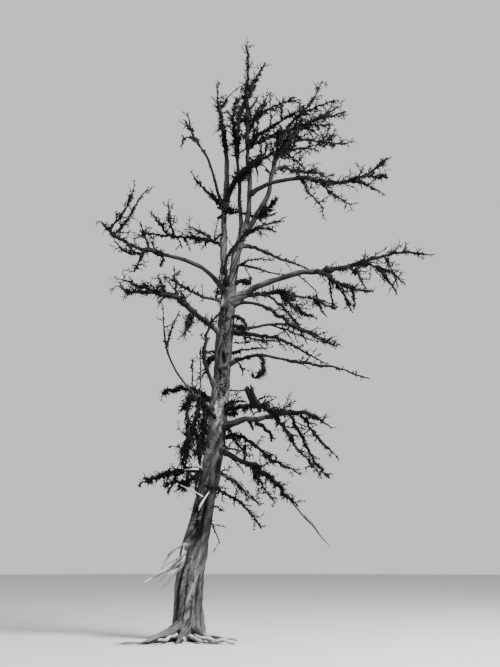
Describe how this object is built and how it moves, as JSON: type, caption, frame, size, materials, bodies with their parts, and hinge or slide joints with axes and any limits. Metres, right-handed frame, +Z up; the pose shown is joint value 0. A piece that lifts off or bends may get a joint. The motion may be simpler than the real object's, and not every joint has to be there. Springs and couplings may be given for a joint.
{
  "type": "dead conifer tree",
  "caption": "Dead standing mountain pine with a leaning weathered trunk, two leaders, long bare boughs and dry twigs, fixed at the ground.",
  "frame": {"origin": "middle of the flat cut at ground level under the trunk", "axes": "+Z up, +X to the right of the picture, +Y away from its viewer"},
  "size_m": [6.2424, 4.0538, 12.0519],
  "materials": {
    "trunk_wood": "bare weathered grey wood, no bark",
    "bough_wood": "bare weathered wood, darker than the trunk",
    "pale_wood": "bleached broken wood",
    "dry_twigs": "matt dark dry twigs"
  },
  "bodies": {
    "root": {"trunk": "trunk_wood", "left_leader": "trunk_wood", "right_leader": "trunk_wood", "top_stem": "trunk_wood", "middle_stem": "trunk_wood", "leaning_stem": "trunk_wood", "front_diagonal_bough": "bough_wood", "high_right_bough": "bough_wood", "great_right_bough": "bough_wood", "fork_right_front_bough": "bough_wood", "knot_right_back_bough": "bough_wood", "long_right_bough": "bough_wood", "low_right_bough": "bough_wood", "lower_right_bough": "bough_wood", "high_left_bough": "bough_wood", "great_left_bough": "bough_wood", "mid_left_bough": "bough_wood", "upright_left_bough": "bough_wood", "sweeping_left_bough": "bough_wood", "broken_fork": "pale_wood", "left_leader_twigs": "dry_twigs", "top_stem_twigs": "dry_twigs", "middle_stem_twigs": "dry_twigs", "leaning_stem_twigs": "dry_twigs", "fan_right_twigs": "dry_twigs", "fan_front_twigs": "dry_twigs", "fan_low_twigs": "dry_twigs", "front_diagonal_twigs": "dry_twigs", "high_right_twigs": "dry_twigs", "high_right_back_twigs": "dry_twigs", "upper_right_back_twigs": "dry_twigs", "mid_right_back_twigs": "dry_twigs", "mid_right_front_twigs": "dry_twigs", "crossing_front_twigs": "dry_twigs", "great_right_twigs": "dry_twigs", "fork_right_back_twigs": "dry_twigs", "fork_right_front_twigs": "dry_twigs", "knot_right_back_twigs": "dry_twigs", "knot_right_front_twigs": "dry_twigs", "long_right_twigs": "dry_twigs", "front_tangle_twigs": "dry_twigs", "low_right_twigs": "dry_twigs", "low_right_under_twigs": "dry_twigs", "lower_right_twigs": "dry_twigs", "lowest_right_twigs": "dry_twigs", "low_back_twigs": "dry_twigs", "high_back_twigs": "dry_twigs", "middle_back_twigs": "dry_twigs", "lower_back_twigs": "dry_twigs", "high_left_twigs": "dry_twigs", "high_left_back_twigs": "dry_twigs", "upper_left_twigs": "dry_twigs", "great_left_twigs": "dry_twigs", "thin_left_twigs": "dry_twigs", "mid_left_twigs": "dry_twigs", "left_back_twigs": "dry_twigs", "upright_left_twigs": "dry_twigs", "sweeping_left_twigs": "dry_twigs", "hanging_left_twigs": "dry_twigs", "low_left_twigs": "dry_twigs"}
  },
  "joints": []
}
